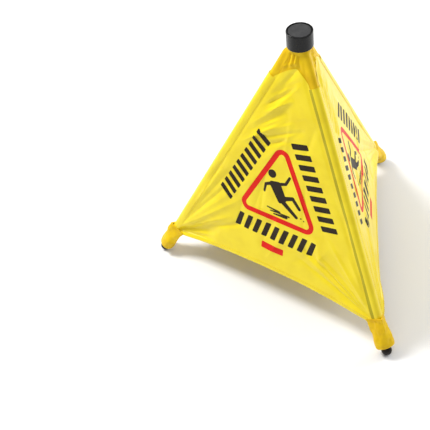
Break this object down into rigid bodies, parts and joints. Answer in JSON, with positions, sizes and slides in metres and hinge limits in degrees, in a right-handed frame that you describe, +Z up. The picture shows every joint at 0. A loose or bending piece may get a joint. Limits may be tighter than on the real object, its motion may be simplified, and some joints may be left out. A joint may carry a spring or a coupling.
{
  "type": "pop-up wet floor sign",
  "caption": "Folding three-legged wet floor sign: a cloth skirt stretched over sprung legs that hinge under a round cap, with rubber ball feet.",
  "frame": {"origin": "on the floor, directly under the cap's axis, midway between the feet", "axes": "+Z up along the cap's axis, -Y towards the front leg, +X to the right seen from the front leg"},
  "size_m": [0.5038, 0.4402, 0.508],
  "materials": {
    "skirt_cloth": "satin",
    "collar_cloth": "satin",
    "sleeve_cloth": "matte",
    "cap_plastic": "satin",
    "cap_disc_plastic": "matte",
    "hub_plastic": "satin",
    "leg_aluminium": "satin",
    "plated_steel": "satin",
    "spring_steel": "satin",
    "foot_rubber": "satin"
  },
  "bodies": {
    "head": {"cap_shell": "cap_plastic", "cap_disc": "cap_disc_plastic", "cap_screw": "plated_steel", "hub": "hub_plastic", "pivot_pins": "plated_steel", "skirt_collar": "collar_cloth", "skirt_panel_front_left": "skirt_cloth", "skirt_panel_front_right": "skirt_cloth", "skirt_panel_back": "skirt_cloth", "skirt_hem_front_left": "skirt_cloth", "skirt_hem_front_right": "skirt_cloth", "skirt_hem_back": "skirt_cloth"},
    "leg_front": {"knuckle_front": "hub_plastic", "leg_tube_front": "leg_aluminium", "knuckle_rivet_front": "plated_steel", "torsion_spring_front": "spring_steel", "leg_pocket_front": "skirt_cloth", "foot_insert_front": "hub_plastic", "foot_sleeve_front": "sleeve_cloth", "rubber_foot_front": "foot_rubber"},
    "leg_right": {"knuckle_right": "hub_plastic", "leg_tube_right": "leg_aluminium", "knuckle_rivet_right": "plated_steel", "torsion_spring_right": "spring_steel", "leg_pocket_right": "skirt_cloth", "foot_insert_right": "hub_plastic", "foot_sleeve_right": "sleeve_cloth", "rubber_foot_right": "foot_rubber"},
    "leg_left": {"knuckle_left": "hub_plastic", "leg_tube_left": "leg_aluminium", "knuckle_rivet_left": "plated_steel", "torsion_spring_left": "spring_steel", "leg_pocket_left": "skirt_cloth", "foot_insert_left": "hub_plastic", "foot_sleeve_left": "sleeve_cloth", "rubber_foot_left": "foot_rubber"}
  },
  "joints": [
    {"name": "leg_front_fold", "type": "hinge", "parent": "head", "child": "leg_front", "pos_m": [0, -0.0107, 0.486], "axis": [1, 0, 0], "range_deg": [0, 28], "stiffness_Nm_per_rad": 0.15, "springref_deg": -74.48, "deforming": ["torsion_spring_front", "skirt_collar", "skirt_panel_front_left", "skirt_panel_front_right", "skirt_panel_back", "skirt_hem_front_left", "skirt_hem_front_right", "skirt_hem_back"]},
    {"name": "leg_right_fold", "type": "hinge", "parent": "head", "child": "leg_right", "pos_m": [0.00927, 0.00535, 0.486], "axis": [-0.5, 0.866, 0], "range_deg": [0, 28], "stiffness_Nm_per_rad": 0.15, "springref_deg": -74.48, "deforming": ["torsion_spring_right"]},
    {"name": "leg_left_fold", "type": "hinge", "parent": "head", "child": "leg_left", "pos_m": [-0.00927, 0.00535, 0.486], "axis": [-0.5, -0.866, 0], "range_deg": [0, 28], "stiffness_Nm_per_rad": 0.15, "springref_deg": -74.48, "deforming": ["torsion_spring_left"]}
  ],
  "couplings": [
    {"joint": "leg_right_fold", "follows": "leg_front_fold", "ratio": 1},
    {"joint": "leg_left_fold", "follows": "leg_front_fold", "ratio": 1}
  ]
}
